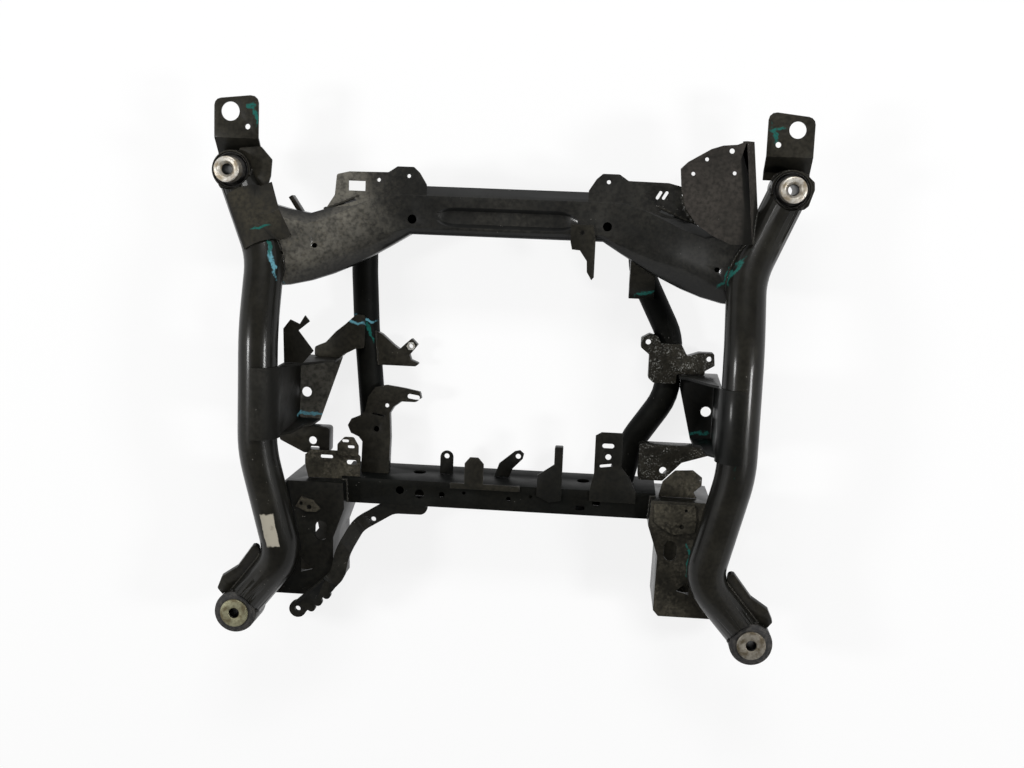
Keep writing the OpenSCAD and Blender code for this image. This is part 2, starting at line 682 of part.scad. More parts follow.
// Mounting bushes: can, rubber and sleeve, turned about the mounting axis
module at_upper(side) translate([side * upper_mount_spread / 2, upper_y, upper_can_z]) children();
module at_lower(side) translate([side * lower_mount_spread / 2, lower_y, lower_can_z]) children();
can_wall = 2.5;
module bush_can(d, h) rotate_extrude() translate([d / 2 - can_wall, 0]) square([can_wall, h]);
module upper_rubber() {
    inner = upper_sleeve_d / 2 + bond_gap;
    outer = upper_can_d / 2 - can_wall - bond_gap;
    rotate_extrude()
        polygon([[inner, 2], [outer, 4], [outer, upper_can_h - 3], [outer - 2, upper_can_h - 1],
            [(inner + outer) / 2, upper_can_h - 9], [inner, upper_can_h + 4]]);
}
module upper_sleeve() {
    bore = sleeve_bore / 2;
    mouth = upper_mouth_d / 2;
    top = upper_can_h + upper_sleeve_rise;
    rotate_extrude()
        polygon([[bore, -2], [upper_sleeve_d / 2, -2], [upper_sleeve_d / 2, top - 1.5], [upper_sleeve_d / 2 - 1.5, top],
            [mouth, top], [bore, top - (mouth - bore) * 1.4]]);
}
module lower_rubber() {
    inner = lower_sleeve_d / 2 + bond_gap;
    outer = lower_can_d / 2 - can_wall - bond_gap;
    rim = lower_can_d / 2 - 0.5;
    lip = lower_can_h + rubber_lip;
    rotate_extrude()
        polygon([[inner, 0], [outer, 3], [outer, lower_can_h + bond_gap], [rim, lower_can_h + bond_gap],
            [rim, lip - 3.5], [rim - 1.5, lip - 2], [rim - 4, lip - 2], [rim - 5, lip], [inner, lip]]);
}
module lower_sleeve() rotate_extrude()
    translate([sleeve_bore / 2, -2]) square([(lower_sleeve_d - sleeve_bore) / 2, lower_can_h + rubber_lip + 2]);
module lower_washer() {
    bore = sleeve_bore / 2;
    rim = washer_d / 2;
    rotate_extrude()
        translate([0, lower_can_h + rubber_lip + bond_gap])
            polygon([[bore, 0], [rim, 0], [rim, washer_t - 1], [rim - 1, washer_t], [bore + 1.5, washer_t],
                [bore, washer_t - 1.5]]);
}
module upper_left_can() color(black_paint) at_upper(-1) bush_can(upper_can_d, upper_can_h);
module upper_right_can() color(black_paint) at_upper(1) bush_can(upper_can_d, upper_can_h);
module lower_left_can() color(black_paint) at_lower(-1) bush_can(lower_can_d, lower_can_h);
module lower_right_can() color(black_paint) at_lower(1) bush_can(lower_can_d, lower_can_h);
module upper_left_rubber() color("black") at_upper(-1) upper_rubber();
module upper_right_rubber() color("black") at_upper(1) upper_rubber();
module lower_left_rubber() color("black") at_lower(-1) lower_rubber();
module lower_right_rubber() color("black") at_lower(1) lower_rubber();
module upper_left_sleeve() color("silver") at_upper(-1) upper_sleeve();
module upper_right_sleeve() color("silver") at_upper(1) upper_sleeve();
module lower_left_sleeve() color("silver") at_lower(-1) lower_sleeve();
module lower_right_sleeve() color("silver") at_lower(1) lower_sleeve();
module lower_left_washer() color("darkkhaki") at_lower(-1) lower_washer();
module lower_right_washer() color("dimgray") at_lower(1) lower_washer();

// End tabs beyond the upper bushes, folded up from the can's side
tab_fold = 54;
module end_tab(eye_d) {
    x = upper_mount_spread / 2;
    half = tab_w / 2;
    low_z = tab_z - 24;
    difference() {
        translate([x - 5, upper_y, 0]) intersection() {
            across(tab_w)
                polygon(strip([[16, low_z], [30, low_z + 2], [tab_fold, tab_z], [tab_reach + 1, tab_z]], bracket_sheet));
            linear_extrude(2 * tab_z)
                polygon(rounded([[-half, 0], [half, 0], [half, tab_reach - 8], [-half, tab_reach]], 12));
        }
        hole(x + 5, upper_y + tab_reach - 28, eye_d);
        hole(x - 24, upper_y + tab_reach - 52, tab_hole_d);
        upper_can_body(weld_gap);
    }
}
module left_end_tab() color(black_paint) other_side() end_tab(31);
module right_end_tab() color(black_paint) end_tab(27);

// Collars that stiffen the rails beside the upper cans
collar_z = tab_z + 2;
module collar(outline) difference() {
    plate(rounded(moved(outline, upper_mount_spread / 2, upper_y), 4), collar_z, bracket_sheet);
    upper_can_body(weld_gap);
    rail_bar(weld_gap);
}
module left_collar() color(black_paint) other_side()
    collar([[-53, -44], [-25, -44], [-10, 36], [-47, 40], [-66, 19], [-64, -8]]);
module right_collar() color(black_paint)
    collar([[18, -34], [30, -24], [38, 2], [37, 14], [24, 26], [10, 34]]);

// Horn cover: a pressed sheet that rounds the left rail's upper end into the arm beside it
cover_stations = [40, 60, 84, 104, 126];
cover_blend = 44;
cover_crown = 127.5;
cover_sides = 6;
cover_reach = [36, 54];
cover_bulge = [6, 0];
cover_rise = 9;
cover_gap = 2 * weld_gap;
// Height of what lies under the cover's wing: the collar beside the can, then the arm
function cover_seat(x, d) =
    lerp(collar_z + bracket_sheet + 4, face_z(x) + 1, ease((d - cover_stations[0]) / cover_blend));
function cover_row(d, rise) =
    let (
        p = rail_points(), leg = p[1] - p[0], stop = p[0] + leg * d / -leg[1],
        across = unit(cross(leg, [0, 0, 1])), up = cross(across, unit(leg)),
        seat = cover_seat((stop + cover_reach[1] * across)[0], d),
        hug = rail_r + cover_gap,
        last = asin(min(0.95, (seat + cover_rise - stop[2]) / hug))
    )
    concat(
        [for (k = [0:cover_sides]) let (a = lerp(cover_crown, last, k / cover_sides))
            stop + (hug + rise) * (cos(a) * across + sin(a) * up)],
        [for (k = [0, 1]) let (q = stop + cover_reach[k] * across) [q[0], q[1], seat + cover_bulge[k] + rise]]
    );
module left_horn_cover() color(black_paint) other_side()
    pressing(
        [for (d = cover_stations) cover_row(d, 0)],
        [for (d = cover_stations) cover_row(d, cross_sheet)]
    );

// Fan plate above the right arm, its outer edge turned down to the rail
fan_z = face_z(arm_end_x) + 8;
fan_x = upper_mount_spread / 2 - 64;
fan_fold = [[rail_x + 3, upper_y - 88], [fan_x - 15, upper_y + 72]];
fan_lean = 16;
module fan_plate() color(dusty_paint) {
    run = fan_fold[1] - fan_fold[0];
    outline = concat(
        moved([[-115, 26], [-112, -7], [-104, -35], [-86, -59], [-60, -76], [-30, -89]], fan_x, upper_y),
        fan_fold,
        moved([[-29, 66], [-51, 64], [-69, 58], [-104, 37]], fan_x, upper_y)
    );
    difference() {
        union() {
            plate(outline, fan_z, tab_sheet);
            translate(mean(fan_fold)) rotate(atan2(run[1], run[0]) - 90)
                along_y(norm(run))
                    polygon(strip([[-6, fan_z + tab_sheet], [0, fan_z + tab_sheet], [fan_lean, fan_z - 34]], -tab_sheet));
        }
        rail_bar(weld_gap);
        for (p = [[-37, 56, 8], [-75, 42, 6], [-95, 19, 6], [-31, 22, 6]]) hole(fan_x + p[0], upper_y + p[1], p[2]);
    }
}

// Hook bracket on the beam's face, with a curved inner wall that hangs below the beam's edge
module hook_bracket() color(black_paint) {
    curve = moved([[110, -14], [123, -15], [135, -32], [136, -50]], 0, beam_low);
    outline = concat(
        moved([[107, -1]], 0, beam_low), curve,
        moved([[144, -63], [148, -58], [148, 4], [144, 27], [107, 27]], 0, beam_low)
    );
    face = beam_z + weld_gap;
    difference() {
        union() {
            plate(outline, face, tab_sheet);
            plate(strip(curve, tab_sheet), face - 26, 26 + tab_sheet);
        }
        hole(126, beam_low + 14, 7);
    }
}

// Leg bracket: a short channel from the crossmember down to the right inner tube, which it saddles
leg_x = 229;
leg_w = 42;
module leg_bracket() color(black_paint) {
    foot_y = beam_low - 94;
    web = [[beam_low, beam_z - 16], [beam_low - 16, beam_z - 18], [foot_y + 14, beam_z - 50], [foot_y, beam_z - 60],
        [foot_y, tube_d]];
    difference() {
        translate([leg_x, 0, 0]) across(leg_w) polygon(concat(web, [[beam_low, tube_d]]));
        translate([leg_x, 0, 0]) across(leg_w - 2 * tab_sheet)
            polygon(concat(side_line(web, tab_sheet), [[foot_y + tab_sheet, 0], [beam_low + 1, 0]]));
        cross_body(weld_gap);
        right_tube_bar(weld_gap);
        translate([leg_x - leg_w / 2, foot_y + 28, beam_z - 62])
            rotate([0, 90, 0]) cylinder(d = 16, h = 4 * tab_sheet, center = true);
    }
}

// Fin standing on the left arm's upper wall
module fin_tab() color(black_paint) other_side() {
    a = arm_x(5.2);
    b = arm_x(5.5);
    difference() {
        plate([[a, top_y(a) - 8], [b, top_y(b) - 8], [a + 31, top_y(a) + 25], [a + 25, top_y(a) + 29]],
            face_z(a) - 38, 20);
        cross_body(weld_gap);
    }
}

// Branch bracket beside the left inner tube, with a weld nut on its tip
branch_z = tube_low_z + 14;
branch_tip = [-166, 84];
module branch_bracket() color(black_paint) difference() {
    outline = [[-238, 48], [-158, 48], [-151, 53], [-166, 59], [-169, 68], [-155, 86], [-166, 97], [-177, 87],
        [-187, 77], [-197, 84], [-218, 102], [-238, 112]];
    tray(outline, 2, branch_z, 16, tab_sheet);
    left_tube_bar(weld_gap);
    hole(branch_tip[0], branch_tip[1], 8);
}
module branch_weld_nut() color("silver")
    translate([branch_tip[0], branch_tip[1], branch_z + weld_gap]) weld_nut(15, 7, 8);

// Slotted bracket along the top of the left inner tube, down to the lower crossmember
module slotted_bracket() color(black_paint) {
    start = left_tube_points()[3];
    run = left_tube_points()[4] - start;
    outline = [[-1, -193], [48, -193], [48, -129], [45, -87], [51, -76], [64, -66], [89, -66], [99, -58], [96, -47],
        [69, -42], [37, -38], [18, -43], [6, -60], [1, -87], [-8, -94], [-22, -100], [-28, -112], [-22, -125], [-8, -131],
        [-1, -139]];
    difference() {
        translate(start) rotate([-atan2(run[2], -run[1]), 0, 0]) difference() {
            tray(outline, 2, tube_r + saddle_rise + tab_sheet, 14 + saddle_rise, tab_sheet);
            hole(40, -74, 7);
            hole(23, -116, 10);
            slot_hole(86, -57, 22, 8, -8);
            slot_hole(25, -91, 22, 3, -10);
        }
        left_tube_bar(weld_gap);
        lower_cross_body(weld_gap);
    }
}

// Hook plate on the left cup's upper wall
hook_plate_z = rail_z - 55;
module hook_plate() color(black_paint) other_side()
    plate([[rail_x - 61, cup_end + weld_gap], [rail_x - 29, cup_end + weld_gap], [rail_x - 27, 116],
        [rail_x - 39, 132], [rail_x - 55, 125], [rail_x - 64, 140], [rail_x - 72, 130], [rail_x - 53, 114],
        [rail_x - 79, 81]], hook_plate_z, tab_sheet);

// Small plates around the ends of the lower crossmember
end_plate_z = shelf_z + 10;
module left_end_plate() color(dusty_paint) difference() {
    x = -arm_bracket_x;
    foot = arm_bracket_top + weld_gap;
    outline = [[x - 55, foot], [x + 36, foot], [x + 36, foot + 40], [x + 28, foot + 49], [x - 50, foot + 49],
        [x - 61, foot + 40], [x - 61, foot + 24]];
    plate(outline, end_plate_z, tab_sheet);
    lower_cross_body(weld_gap);
    slot_hole(x - 23, foot + 38, 22, 6, 0);
    slot_hole(x + 21, foot + 30, 18, 8, 0);
}
module left_slot_tab() color(dusty_paint) difference() {
    outline = moved([[-4, 42], [33, 42], [33, 60], [24, 75], [8, 75], [-4, 62]], -arm_bracket_x, arm_bracket_top);
    plate(rounded(outline, 5), end_plate_z + tab_sheet + weld_gap, tab_sheet);
    slot_hole(10 - arm_bracket_x, arm_bracket_top + 68, 12, 5, 0);
    slot_hole(20 - arm_bracket_x, arm_bracket_top + 58, 12, 5, 0);
}
module left_corner_tab() color(dusty_paint) difference() {
    outline = moved([[-68, -44], [-50, -52], [-32, -52], [-24, -46], [-36, -32], [-58, -26]],
        -arm_bracket_x, arm_bracket_top);
    plate(outline, arm_bracket_z + weld_gap, tab_sheet);
    hole(-arm_bracket_x - 58, arm_bracket_top - 38, 6);
    hole(-arm_bracket_x - 44, arm_bracket_top - 44, 8);
}
module right_end_plate() color(dusty_paint) {
    foot = arm_bracket_top + weld_gap;
    outline = [[arm_bracket_x, foot], [arm_bracket_x + 65, foot], [arm_bracket_x + 59, foot + 10],
        [arm_bracket_x + 72, foot + 22], [arm_bracket_x + 72, foot + 36], [arm_bracket_x + 56, foot + 48],
        [arm_bracket_x + 26, foot + 46], [arm_bracket_x + 6, foot + 26]];
    plate(outline, end_plate_z, tab_sheet);
}
module right_top_plate() color(dusty_paint) difference() {
    outline = moved([[-8, -4], [60, -4], [64, -30], [62, -52], [26, -56], [10, -48], [-6, -36]],
        arm_bracket_x, arm_bracket_top);
    plate(rounded(outline, 4), arm_bracket_z + weld_gap, tab_sheet);
    hole(arm_bracket_x + 46, arm_bracket_top - 14, 5);
    hole(arm_bracket_x + 40, arm_bracket_top - 42, 8);
}

// Tabs along the upper wall and the face of the lower crossmember
low_tab_z = lower_cross_z / 2;
face_tab_z = lower_cross_z + weld_gap;
module round_tab() color(black_paint) difference() {
    union() {
        translate([-106, lower_cross_top - 2, low_tab_z]) cube([23, 36, tab_sheet]);
        translate([-94.5, lower_cross_top + 34, low_tab_z]) cylinder(d = 23, h = tab_sheet);
    }
    lower_cross_body(weld_gap);
    hole(-94.5, lower_cross_top + 36, tab_hole_d);
}
module wide_tab() color(dusty_paint) {
    outline = moved([[-81, -9], [39, -9], [39, 1], [-24, 1], [-24, 36], [-34, 47], [-48, 47], [-57, 36], [-57, 1],
        [-81, 1]], 0, lower_cross_top);
    plate(outline, face_tab_z, tab_sheet);
}
module slanted_tab() color(black_paint) difference() {
    outline = moved([[-12, -2], [14, -2], [22, 20], [39, 38], [41, 47], [34, 53], [25, 51], [-2, 28]], 0, lower_cross_top);
    plate(outline, low_tab_z, tab_sheet);
    lower_cross_body(weld_gap);
    hole(31, lower_cross_top + 42, tab_hole_d);
}
module post_bracket() color(black_paint) {
    post = moved([[96, 2], [110, 2], [110, 72], [96, 72]], 0, lower_cross_top);
    base = moved([[68, -14], [90, -24], [110, -20], [110, 30], [96, 42], [68, 22]], 0, lower_cross_top);
    plate(base, face_tab_z, tab_sheet);
    tray(post, 2, face_tab_z + tab_sheet, 20, tab_sheet);
}
module flange_plate() color(black_paint) difference() {
    outline = moved([[158, -18], [236, -18], [236, 2], [224, 26], [210, 44], [210, 102], [174, 102], [164, 96], [164, 30],
        [158, 2]], 0, lower_cross_top);
    plate(outline, face_tab_z, tab_sheet);
    slot_hole(186, lower_cross_top + 79, 20, 8, 0);
    hole(187, lower_cross_top + 60, 10);
    slot_hole(184, lower_cross_top + 45, 22, 5, 8);
}

// The part stands with the middle of its outline on the Z axis
module place() translate([0, -middle_y, 0]) children();

place() left_rail();
place() right_rail();
place() left_rail_gusset();
place() right_rail_gusset();
place() upper_crossmember();
place() upper_crossmember_floor();
place() ear_weld_nuts();
place() lower_crossmember();
place() lower_crossmember_floor();
place() left_inner_tube();
place() right_inner_tube();
place() left_mount_cup();
place() right_mount_cup();
place() left_cup_arm();
place() right_cup_arm();
place() left_shelf();
place() right_shelf();
place() left_arm_bracket();
place() right_arm_bracket();
place() left_arm_bracket_floor();
place() right_arm_bracket_floor();
place() stay_arm();
place() upper_left_can();
place() upper_right_can();
place() lower_left_can();
place() lower_right_can();
place() upper_left_rubber();
place() upper_right_rubber();
place() lower_left_rubber();
place() lower_right_rubber();
place() upper_left_sleeve();
place() upper_right_sleeve();
place() lower_left_sleeve();
place() lower_right_sleeve();
place() lower_left_washer();
place() lower_right_washer();
place() left_end_tab();
place() right_end_tab();
place() left_collar();
place() right_collar();
place() left_horn_cover();
place() fan_plate();
place() hook_bracket();
place() leg_bracket();
place() fin_tab();
place() branch_bracket();
place() branch_weld_nut();
place() slotted_bracket();
place() hook_plate();
place() left_end_plate();
place() left_slot_tab();
place() left_corner_tab();
place() right_end_plate();
place() right_top_plate();
place() round_tab();
place() wide_tab();
place() slanted_tab();
place() post_bracket();
place() flange_plate();
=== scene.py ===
import math

import bmesh
import bpy
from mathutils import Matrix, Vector
from mathutils.bvhtree import BVHTree


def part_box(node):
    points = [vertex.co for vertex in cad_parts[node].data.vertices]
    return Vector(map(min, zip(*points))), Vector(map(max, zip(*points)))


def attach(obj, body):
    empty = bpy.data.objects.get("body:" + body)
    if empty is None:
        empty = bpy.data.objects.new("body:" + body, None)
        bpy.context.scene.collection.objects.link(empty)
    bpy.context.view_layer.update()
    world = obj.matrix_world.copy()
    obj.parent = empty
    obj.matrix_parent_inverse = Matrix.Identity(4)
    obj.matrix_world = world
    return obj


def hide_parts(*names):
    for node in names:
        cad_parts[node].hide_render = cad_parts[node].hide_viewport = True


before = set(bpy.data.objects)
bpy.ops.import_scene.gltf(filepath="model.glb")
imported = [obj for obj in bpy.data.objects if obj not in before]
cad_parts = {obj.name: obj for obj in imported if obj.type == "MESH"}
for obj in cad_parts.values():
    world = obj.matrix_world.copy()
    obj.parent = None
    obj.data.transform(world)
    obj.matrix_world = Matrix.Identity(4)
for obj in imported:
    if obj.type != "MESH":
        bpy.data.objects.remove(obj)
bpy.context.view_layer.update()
bpy.ops.object.select_all(action="DESELECT")


# Rails: two round steel tubes, bent cold and dipped in black paint that still shines along their
# flanks. Road dust clings to what faces up. The left one has a plain pale patch, and both have
# thin strokes of inspection paint beside their welds.
BLACK = (0.0058, 0.0056, 0.0045)
BLUE_BLACK = (0.0056, 0.0058, 0.0056)
DEEP_BLACK = (0.0030, 0.0033, 0.0030)
WORN_BLACK = (0.014, 0.0135, 0.012)
DUST = (0.062, 0.055, 0.039)
FLAKE = (0.125, 0.112, 0.084)
CHIP = (0.22, 0.21, 0.19)
BARE = (0.26, 0.26, 0.24)
TEAL = (0.011, 0.100, 0.083)
SKY = (0.12, 0.32, 0.39)
PALE = (0.40, 0.37, 0.30)


def paint_finish(name, cover, rough, marks=(), paint=BLACK, dust=DUST, flakes=0.0, crust=0.0, fading=None,
                 coat=0.10, gloss=0.12):
    """Black paint with dust on what faces up, flaking dirt, chips and marks of other paint.

    A mark is its kind, centre, half sizes, turn in degrees and colour. Fading is an axis, the place
    where the dust starts to thin, the place where it stops thinning, and the share left there.
    """
    finish = bpy.data.materials.new(name)
    finish.use_nodes = True
    tree = finish.node_tree
    add = tree.nodes.new
    join = tree.links.new
    shader = tree.nodes["Principled BSDF"]
    shader.inputs["Coat Weight"].default_value = coat
    shader.inputs["Coat Roughness"].default_value = 0.13
    shader.inputs["Specular IOR Level"].default_value = gloss
    place = add("ShaderNodeTexCoord").outputs["Object"]

    def noise(scale, detail):
        texture = add("ShaderNodeTexNoise")
        texture.inputs["Scale"].default_value = scale
        texture.inputs["Detail"].default_value = detail
        join(place, texture.inputs["Vector"])
        return texture.outputs["Fac"]

    def limits(value, low, high, start=0.0, end=1.0):
        step = add("ShaderNodeMapRange")
        step.interpolation_type = "SMOOTHSTEP"
        step.inputs["From Min"].default_value = low
        step.inputs["From Max"].default_value = high
        step.inputs["To Min"].default_value = start
        step.inputs["To Max"].default_value = end
        join(value, step.inputs["Value"])
        return step.outputs["Result"]

    def combine(kind, one, two):
        sum_node = add("ShaderNodeMath")
        sum_node.operation = kind
        join(one, sum_node.inputs[0])
        if isinstance(two, float):
            sum_node.inputs[1].default_value = two
        else:
            join(two, sum_node.inputs[1])
        return sum_node.outputs[0]

    def blend(amount, under, over):
        mix = add("ShaderNodeMix")
        mix.data_type = "RGBA"
        join(amount, mix.inputs[0])
        for socket, colour in ((mix.inputs[6], under), (mix.inputs[7], over)):
            if isinstance(colour, tuple):
                socket.default_value = (*colour, 1.0)
            else:
                join(colour, socket)
        return mix.outputs[2]

    def axes(vector):
        split = add("ShaderNodeSeparateXYZ")
        join(vector, split.inputs[0])
        return split.outputs

    lying = limits(axes(add("ShaderNodeNewGeometry").outputs["Normal"])["Z"], 0.62, 0.98)
    if fading:
        along, near, far, rest = fading
        lying = combine("MULTIPLY", lying, limits(axes(place)[along], near, far, 1.0, rest))
    blotches = limits(noise(11.0, 6.0), 0.34, 0.62, 0.35, 1.0)
    grains = limits(noise(150.0, 6.0), 0.28, 0.66, 0.35, 1.0)
    dusted = combine("MULTIPLY", combine("MULTIPLY", blotches, grains), combine("MULTIPLY", lying, cover))
    rubbed = blend(limits(noise(24.0, 5.0), 0.42, 0.74), paint, tuple(1.8 * c for c in paint))
    colour = blend(dusted, rubbed, dust)
    if flakes:
        specks = limits(noise(210.0, 8.0), 0.42, 0.68)
        drifts = limits(noise(36.0, 5.0), 0.38, 0.60, 0.1, 1.0)
        torn = combine("MULTIPLY", combine("MULTIPLY", specks, drifts), lying)
        torn = combine("MULTIPLY", torn, flakes)
        colour = blend(torn, colour, FLAKE)
        dusted = combine("MAXIMUM", dusted, torn)
    if crust:
        cells = add("ShaderNodeTexVoronoi")
        cells.inputs["Scale"].default_value = 210.0
        join(place, cells.inputs["Vector"])
        scratches = limits(noise(380.0, 9.0), 0.53, 0.66)
        rubs = limits(noise(60.0, 5.0), 0.40, 0.62)
        scrapes = combine("MULTIPLY", scratches, rubs)
        colour = blend(combine("MULTIPLY", scrapes, crust), colour, BARE)
    pits = limits(noise(240.0, 2.0), 0.735, 0.76)
    knocks = limits(noise(12.0, 3.0), 0.52, 0.68)
    colour = blend(combine("MULTIPLY", pits, knocks), colour, CHIP)
    sway = 0.018
    wave = add("ShaderNodeTexNoise")
    wave.inputs["Scale"].default_value = 55.0
    join(place, wave.inputs["Vector"])
    wander = add("ShaderNodeVectorMath")
    wander.operation = "MULTIPLY_ADD"
    wander.inputs[1].default_value = (sway, sway, 0.0)
    join(wave.outputs["Color"], wander.inputs[0])
    join(place, wander.inputs[2])
    for kind, centre, half, turn, tint in marks:
        spot = add("ShaderNodeMapping")
        spot.vector_type = "TEXTURE"
        spot.inputs["Rotation"].default_value = (0.0, 0.0, math.radians(turn))
        spot.inputs["Scale"].default_value = half
        if kind == "stroke":
            spot.inputs["Location"].default_value = (centre[0] + sway / 2, centre[1] + sway / 2, centre[2])
            join(wander.outputs[0], spot.inputs["Vector"])
            reach = add("ShaderNodeVectorMath")
            reach.operation = "LENGTH"
            join(spot.outputs[0], reach.inputs[0])
            ragged = combine("ADD", reach.outputs["Value"], combine("MULTIPLY", noise(150.0, 5.0), 1.6))
            broken = limits(noise(330.0, 4.0), 0.32, 0.50, 0.35, 1.0)
            amount = combine("MULTIPLY", limits(ragged, 1.40, 2.00, 1.0, 0.0), broken)
        else:
            spot.inputs["Location"].default_value = centre
            join(place, spot.inputs["Vector"])
            size = add("ShaderNodeVectorMath")
            size.operation = "ABSOLUTE"
            join(spot.outputs[0], size.inputs[0])
            sides = axes(size.outputs[0])
            edge = combine("MAXIMUM", sides["X"], sides["Y"])
            ragged = combine("ADD", edge, combine("MULTIPLY", noise(70.0, 6.0), 0.55))
            faded = limits(noise(55.0, 6.0), 0.28, 0.46, 0.45, 1.0)
            amount = combine("MULTIPLY", limits(ragged, 1.15, 1.26, 0.92, 0.0), faded)
        colour = blend(amount, colour, tint)
        dusted = combine("MAXIMUM", dusted, combine("MULTIPLY", amount, 0.8))
    join(colour, shader.inputs["Base Color"])
    wear = combine("MULTIPLY", noise(34.0, 5.0), 0.24)
    matt = combine("ADD", combine("MULTIPLY", dusted, 0.5), combine("ADD", wear, rough))
    join(matt, shader.inputs["Roughness"])
    skin = combine("ADD", combine("MULTIPLY", noise(520.0, 2.0), 0.25), noise(48.0, 4.0))
    bump = add("ShaderNodeBump")
    bump.inputs["Strength"].default_value = 0.2
    bump.inputs["Distance"].default_value = 0.0010
    relief = combine("ADD", skin, combine("MULTIPLY", dusted, 0.6))
    if crust:
        relief = combine("ADD", relief, combine("MULTIPLY", cells.outputs["Distance"], 5.0 * crust))
    join(relief, bump.inputs["Height"])
    join(bump.outputs["Normal"], shader.inputs["Normal"])
    return finish


MERGE_REACH = 0.00002
FLAT_ANGLE = math.radians(0.02)


def welded_copy(node, name):
    """A copy of a CAD node whose loose triangles are merged, with its flat faces whole again."""
    piece = bpy.data.objects.new(name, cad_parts[node].data.copy())
    bpy.context.collection.objects.link(piece)
    bpy.ops.object.select_all(action="DESELECT")
    piece.select_set(True)
    bpy.context.view_layer.objects.active = piece
    bpy.ops.object.mode_set(mode="EDIT")
    bpy.ops.mesh.select_all(action="SELECT")
    bpy.ops.mesh.remove_doubles(threshold=MERGE_REACH)
    bpy.ops.mesh.dissolve_limited(angle_limit=FLAT_ANGLE)
    bpy.ops.object.mode_set(mode="OBJECT")
    return piece


EDGE_ANGLE = math.radians(32.0)
worn_edge = paint_finish("worn_edge", cover=0.4, rough=0.30, paint=WORN_BLACK)


def dress(node, finish, edge=0.0, smooth=35.0):
    """Stands a softened copy in for a CAD node, with its edges rounded and worn and its finish on."""
    piece = welded_copy(node, node + "_skin")
    piece.data.materials.clear()
    piece.data.materials.append(finish)
    if edge:
        piece.data.materials.append(worn_edge)
        rounding = piece.modifiers.new("rounding", "BEVEL")
        rounding.width = edge
        rounding.segments = 2
        rounding.limit_method = "ANGLE"
        rounding.angle_limit = EDGE_ANGLE
        if finish.name.endswith("paint"):
            rounding.material = 1
        bpy.ops.object.modifier_apply(modifier=rounding.name)
    bpy.ops.object.shade_smooth_by_angle(angle=math.radians(smooth))
    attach(piece, "root")
    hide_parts(node)


TUBE_SMOOTH = 28.0
left_rail_paint = paint_finish("left_rail_paint", cover=0.12, rough=0.20, marks=[
    ("stroke", (-0.3735, 0.186, 0.185), (0.0030, 0.028, 0.09), 17.0, SKY),
    ("stroke", (-0.3800, 0.210, 0.185), (0.0026, 0.016, 0.09), 12.0, TEAL),
    ("patch", (-0.3640, -0.256, 0.21), (0.012, 0.030, 0.05), 10.0, PALE),
], coat=0.2)
right_rail_paint = paint_finish("right_rail_paint", cover=0.16, rough=0.20, marks=[
    ("stroke", (0.3660, 0.194, 0.19), (0.0030, 0.036, 0.09), -34.0, TEAL),
    ("stroke", (0.3815, -0.055, 0.215), (0.0020, 0.055, 0.03), 3.0, TEAL),
], coat=0.2)
dress("left_rail", left_rail_paint, smooth=TUBE_SMOOTH)
dress("right_rail", right_rail_paint, smooth=TUBE_SMOOTH)
frame_paint = paint_finish("frame_paint", cover=0.30, rough=0.24)
for side in ("left", "right"):
    dress(side + "_rail_gusset", frame_paint, edge=0.001)


# Upper crossmember: one steel pressing with a sunken panel along its beam, closed below by a
# second channel that is lapped and seam welded to it. Its left arm carries flaky brown dust, which
# thins out along the beam. Weld nuts sit under the holed ears.
ARM_DUST = (0.205, 0.192, 0.160)
arm_paint = paint_finish("arm_paint", cover=1.0, rough=0.24, marks=[
    ("stroke", (-0.3700, 0.178, 0.18), (0.0030, 0.026, 0.09), 17.0, SKY),
    ("stroke", (0.3640, 0.198, 0.18), (0.0030, 0.034, 0.09), -34.0, TEAL),
], paint=BLUE_BLACK, dust=ARM_DUST, flakes=0.45, fading=("X", -0.34, -0.15, 0.09), coat=0.3)
dress("upper_crossmember", arm_paint, edge=0.0022)
dress("upper_crossmember_floor", frame_paint, edge=0.0015)


